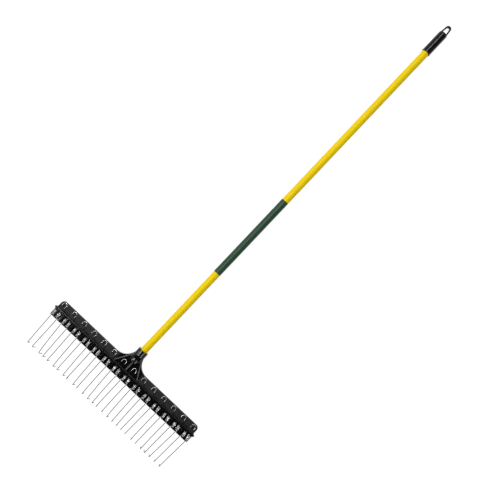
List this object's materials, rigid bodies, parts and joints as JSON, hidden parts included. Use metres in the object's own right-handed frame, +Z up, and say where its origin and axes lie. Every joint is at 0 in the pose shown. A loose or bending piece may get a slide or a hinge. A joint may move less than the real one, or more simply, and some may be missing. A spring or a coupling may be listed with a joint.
{
  "type": "dethatching rake",
  "caption": "Long handled rake whose moulded head holds a row of double spring wire tines with coils and short hooks, with a tubular handle and a grip with a hanging loop.",
  "frame": {"origin": "Middle of the rake's bounding box at floor level, with the rake lying on its hooks and its grip.", "axes": "+Z up from the floor, +Y along the handle from the tines to the grip, +X along the head."},
  "size_m": [0.543, 1.4958, 0.072],
  "materials": {
    "moulded_plastic": "moulded black plastic with a soft sheen",
    "spring_steel": "bright zinc plated spring wire",
    "dark_steel": "blackened steel",
    "yellow_fibreglass": "smooth yellow glass fibre tube",
    "green_label": "dark green printed film, left bare",
    "grip_rubber": "soft black grip"
  },
  "bodies": {
    "rake": {"rake_head": "moulded_plastic", "tine_rod": "dark_steel", "push_nut_left": "dark_steel", "push_nut_right": "dark_steel", "handle_tube": "yellow_fibreglass", "label_sleeve": "green_label", "socket_screw": "dark_steel", "grip": "grip_rubber"},
    "double_tine_01": {"double_tine_01": "spring_steel"},
    "double_tine_02": {"double_tine_02": "spring_steel"},
    "double_tine_03": {"double_tine_03": "spring_steel"},
    "double_tine_04": {"double_tine_04": "spring_steel"},
    "double_tine_05": {"double_tine_05": "spring_steel"},
    "double_tine_06": {"double_tine_06": "spring_steel"},
    "double_tine_07": {"double_tine_07": "spring_steel"},
    "double_tine_08": {"double_tine_08": "spring_steel"},
    "double_tine_09": {"double_tine_09": "spring_steel"},
    "double_tine_10": {"double_tine_10": "spring_steel"},
    "double_tine_11": {"double_tine_11": "spring_steel"},
    "double_tine_12": {"double_tine_12": "spring_steel"},
    "double_tine_13": {"double_tine_13": "spring_steel"},
    "double_tine_14": {"double_tine_14": "spring_steel"}
  },
  "joints": [
    {"name": "tine_01_spring", "type": "hinge", "parent": "rake", "child": "double_tine_01", "pos_m": [-0.25252, -0.61407, 0.06395], "axis": [-1, 0, 0], "range_deg": [-4, 25], "stiffness_Nm_per_rad": 2.2, "deforming": ["double_tine_01"]},
    {"name": "tine_02_spring", "type": "hinge", "parent": "rake", "child": "double_tine_02", "pos_m": [-0.21368, -0.61407, 0.06395], "axis": [-1, 0, 0], "range_deg": [-4, 25], "stiffness_Nm_per_rad": 2.2, "deforming": ["double_tine_02"]},
    {"name": "tine_03_spring", "type": "hinge", "parent": "rake", "child": "double_tine_03", "pos_m": [-0.17483, -0.61407, 0.06395], "axis": [-1, 0, 0], "range_deg": [-4, 25], "stiffness_Nm_per_rad": 2.2, "deforming": ["double_tine_03"]},
    {"name": "tine_04_spring", "type": "hinge", "parent": "rake", "child": "double_tine_04", "pos_m": [-0.13598, -0.61407, 0.06395], "axis": [-1, 0, 0], "range_deg": [-4, 25], "stiffness_Nm_per_rad": 2.2, "deforming": ["double_tine_04"]},
    {"name": "tine_05_spring", "type": "hinge", "parent": "rake", "child": "double_tine_05", "pos_m": [-0.09713, -0.61407, 0.06395], "axis": [-1, 0, 0], "range_deg": [-4, 25], "stiffness_Nm_per_rad": 2.2, "deforming": ["double_tine_05"]},
    {"name": "tine_06_spring", "type": "hinge", "parent": "rake", "child": "double_tine_06", "pos_m": [-0.05828, -0.61407, 0.06395], "axis": [-1, 0, 0], "range_deg": [-4, 25], "stiffness_Nm_per_rad": 2.2, "deforming": ["double_tine_06"]},
    {"name": "tine_07_spring", "type": "hinge", "parent": "rake", "child": "double_tine_07", "pos_m": [-0.01943, -0.61407, 0.06395], "axis": [-1, 0, 0], "range_deg": [-4, 25], "stiffness_Nm_per_rad": 2.2, "deforming": ["double_tine_07"]},
    {"name": "tine_08_spring", "type": "hinge", "parent": "rake", "child": "double_tine_08", "pos_m": [0.01943, -0.61407, 0.06395], "axis": [-1, 0, 0], "range_deg": [-4, 25], "stiffness_Nm_per_rad": 2.2, "deforming": ["double_tine_08"]},
    {"name": "tine_09_spring", "type": "hinge", "parent": "rake", "child": "double_tine_09", "pos_m": [0.05828, -0.61407, 0.06395], "axis": [-1, 0, 0], "range_deg": [-4, 25], "stiffness_Nm_per_rad": 2.2, "deforming": ["double_tine_09"]},
    {"name": "tine_10_spring", "type": "hinge", "parent": "rake", "child": "double_tine_10", "pos_m": [0.09713, -0.61407, 0.06395], "axis": [-1, 0, 0], "range_deg": [-4, 25], "stiffness_Nm_per_rad": 2.2, "deforming": ["double_tine_10"]},
    {"name": "tine_11_spring", "type": "hinge", "parent": "rake", "child": "double_tine_11", "pos_m": [0.13598, -0.61407, 0.06395], "axis": [-1, 0, 0], "range_deg": [-4, 25], "stiffness_Nm_per_rad": 2.2, "deforming": ["double_tine_11"]},
    {"name": "tine_12_spring", "type": "hinge", "parent": "rake", "child": "double_tine_12", "pos_m": [0.17483, -0.61407, 0.06395], "axis": [-1, 0, 0], "range_deg": [-4, 25], "stiffness_Nm_per_rad": 2.2, "deforming": ["double_tine_12"]},
    {"name": "tine_13_spring", "type": "hinge", "parent": "rake", "child": "double_tine_13", "pos_m": [0.21368, -0.61407, 0.06395], "axis": [-1, 0, 0], "range_deg": [-4, 25], "stiffness_Nm_per_rad": 2.2, "deforming": ["double_tine_13"]},
    {"name": "tine_14_spring", "type": "hinge", "parent": "rake", "child": "double_tine_14", "pos_m": [0.25252, -0.61407, 0.06395], "axis": [-1, 0, 0], "range_deg": [-4, 25], "stiffness_Nm_per_rad": 2.2, "deforming": ["double_tine_14"]}
  ]
}
